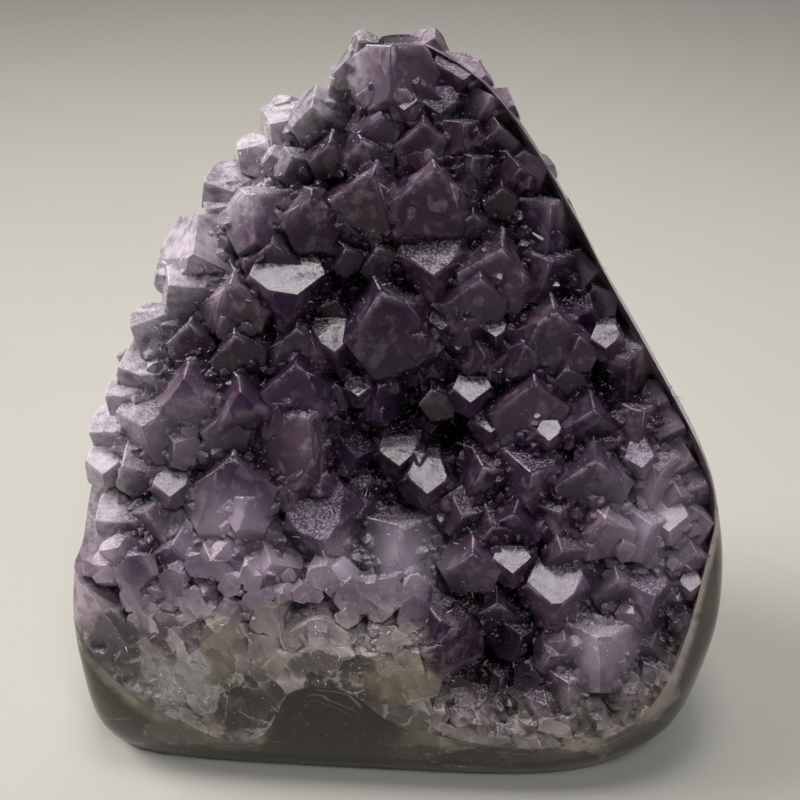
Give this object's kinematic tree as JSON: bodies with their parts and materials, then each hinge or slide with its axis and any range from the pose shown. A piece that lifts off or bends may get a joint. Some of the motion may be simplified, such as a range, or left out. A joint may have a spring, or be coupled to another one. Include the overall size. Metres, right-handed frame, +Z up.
{
  "type": "amethyst cluster",
  "caption": "Cut-base amethyst cluster: a druse of purple quartz points leaning back in a polished agate rind, standing on a flat sawn base.",
  "frame": {"origin": "middle of the stone's box, on the surface that it stands on", "axes": "+X to the right seen from the crystals' side, +Y to the polished back, +Z up"},
  "size_m": [0.127, 0.0816, 0.1291],
  "materials": {
    "amethyst": "natural quartz faces, glassy, partly dusty, polished at the edges",
    "agate": "ground round and polished, sawn flat below"
  },
  "bodies": {
    "root": {"amethyst_crust": "amethyst", "agate_rind": "agate"}
  },
  "joints": []
}
